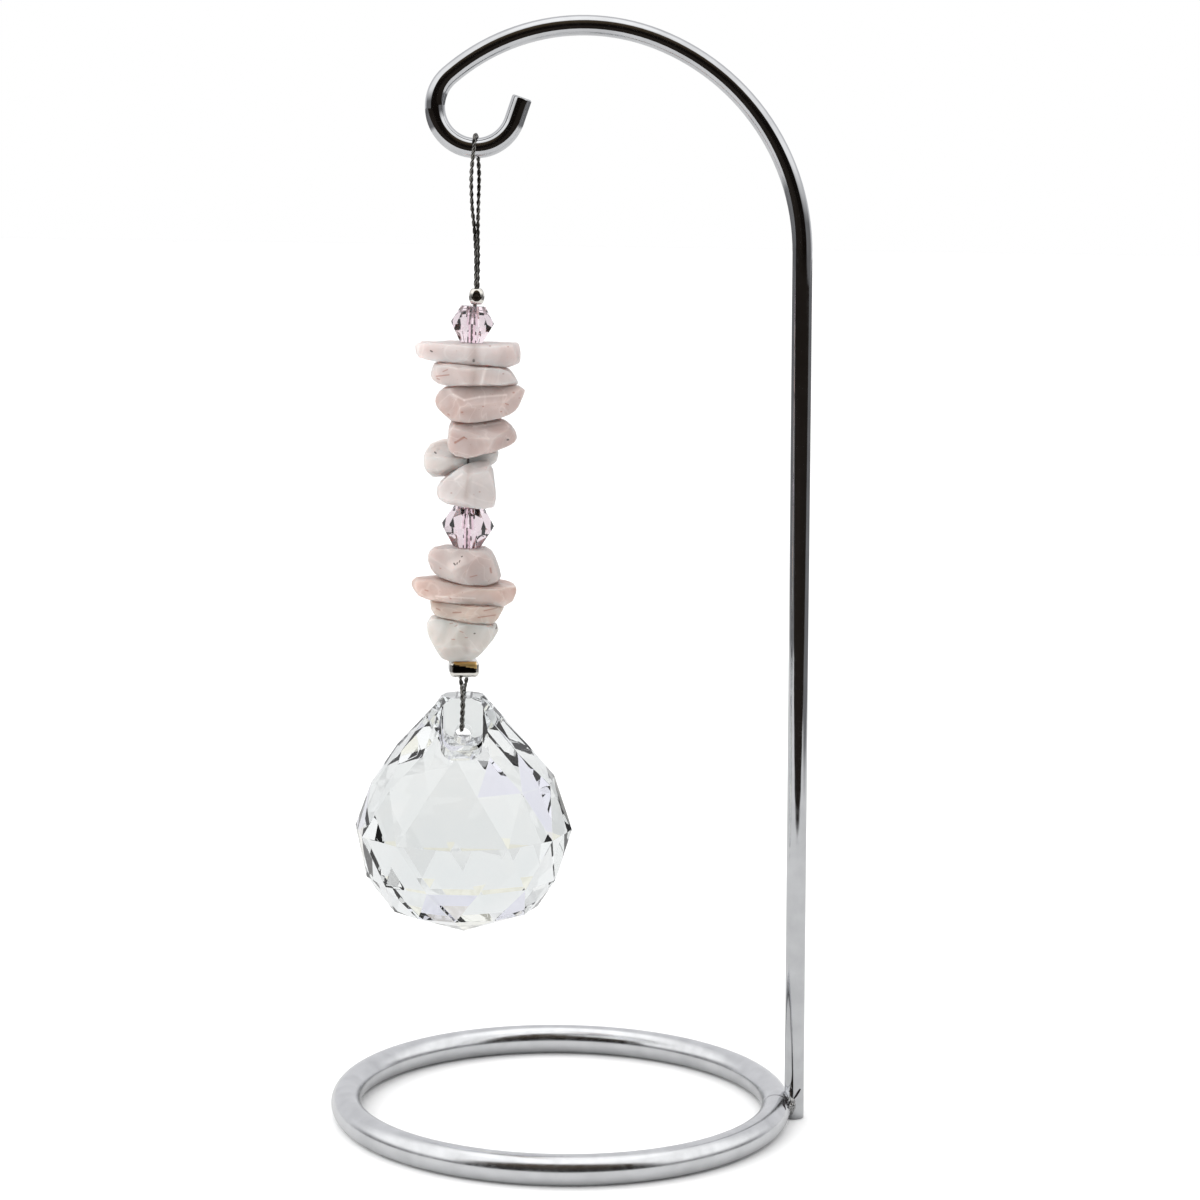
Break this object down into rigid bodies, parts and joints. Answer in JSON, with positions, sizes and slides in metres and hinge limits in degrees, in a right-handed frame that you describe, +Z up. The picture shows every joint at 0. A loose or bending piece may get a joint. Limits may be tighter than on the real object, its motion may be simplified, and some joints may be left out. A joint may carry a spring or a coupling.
{
  "type": "crystal suncatcher on stand",
  "caption": "Suncatcher of a clear faceted ball under tumbled rose quartz chips and glass bicones, hung on one wire from a chromed hook stand with a ring foot.",
  "frame": {"origin": "on the table, at the middle of the footprint of the ring and the upright beside it", "axes": "+Z up; the bent rod lies in the XZ plane with its upright at +X and the string of beads over the ring's middle; the picture looks along +Y"},
  "size_m": [0.0658, 0.064, 0.151],
  "materials": {
    "chrome": "polished plating on bent steel rod",
    "silver": "silver plate, softly polished",
    "wire": "fine twisted beading wire",
    "clear_glass": "clear cut crystal glass, polished facets",
    "rose_glass": "pale rose cut glass, polished facets",
    "rose_quartz": "tumbled, cloudy, softly glossy",
    "pale_quartz": "tumbled, cloudy, softly glossy"
  },
  "bodies": {
    "root": {"base_ring": "chrome", "hook_rod": "chrome", "hanging_wire": "wire", "crimp_bead": "silver", "upper_bicone": "rose_glass", "lower_bicone": "rose_glass", "quartz_chip_1": "pale_quartz", "quartz_chip_2": "pale_quartz", "quartz_chip_3": "rose_quartz", "quartz_chip_4": "rose_quartz", "quartz_chip_5": "pale_quartz", "quartz_chip_6": "pale_quartz", "quartz_chip_7": "rose_quartz", "quartz_chip_8": "rose_quartz", "quartz_chip_9": "rose_quartz", "quartz_chip_10": "pale_quartz", "square_bead": "silver", "crystal_ball": "clear_glass"}
  },
  "joints": []
}
